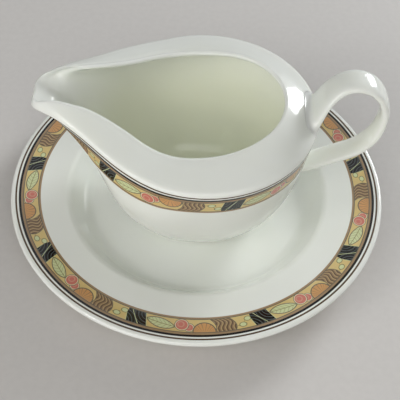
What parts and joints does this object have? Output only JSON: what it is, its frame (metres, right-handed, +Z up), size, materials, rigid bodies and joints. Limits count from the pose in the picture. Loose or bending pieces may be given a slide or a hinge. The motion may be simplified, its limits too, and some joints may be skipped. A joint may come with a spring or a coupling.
{
  "type": "gravy boat on stand",
  "caption": "Gravy boat with a broad sloping collar, a drawn-out spout and a strap handle, standing loose in the well of a round rimmed stand.",
  "frame": {"origin": "centre of the stand's foot ring, on the table", "axes": "+Z up, -X towards the spout, +X towards the handle"},
  "size_m": [0.21, 0.21, 0.1085],
  "materials": {
    "stand_china": "gloss glaze with a fired-on border of lines and motifs",
    "body_china": "gloss glaze with a fired-on border below the shoulder edge",
    "handle_china": "plain gloss glaze"
  },
  "bodies": {
    "stand": {"stand_plate": "stand_china"},
    "boat": {"boat_body": "body_china", "boat_handle": "handle_china"}
  },
  "joints": [
    {"name": "boat_lift", "type": "slide", "parent": "stand", "child": "boat", "axis": [0, 0, 1], "range_m": [0, 0.12]}
  ]
}
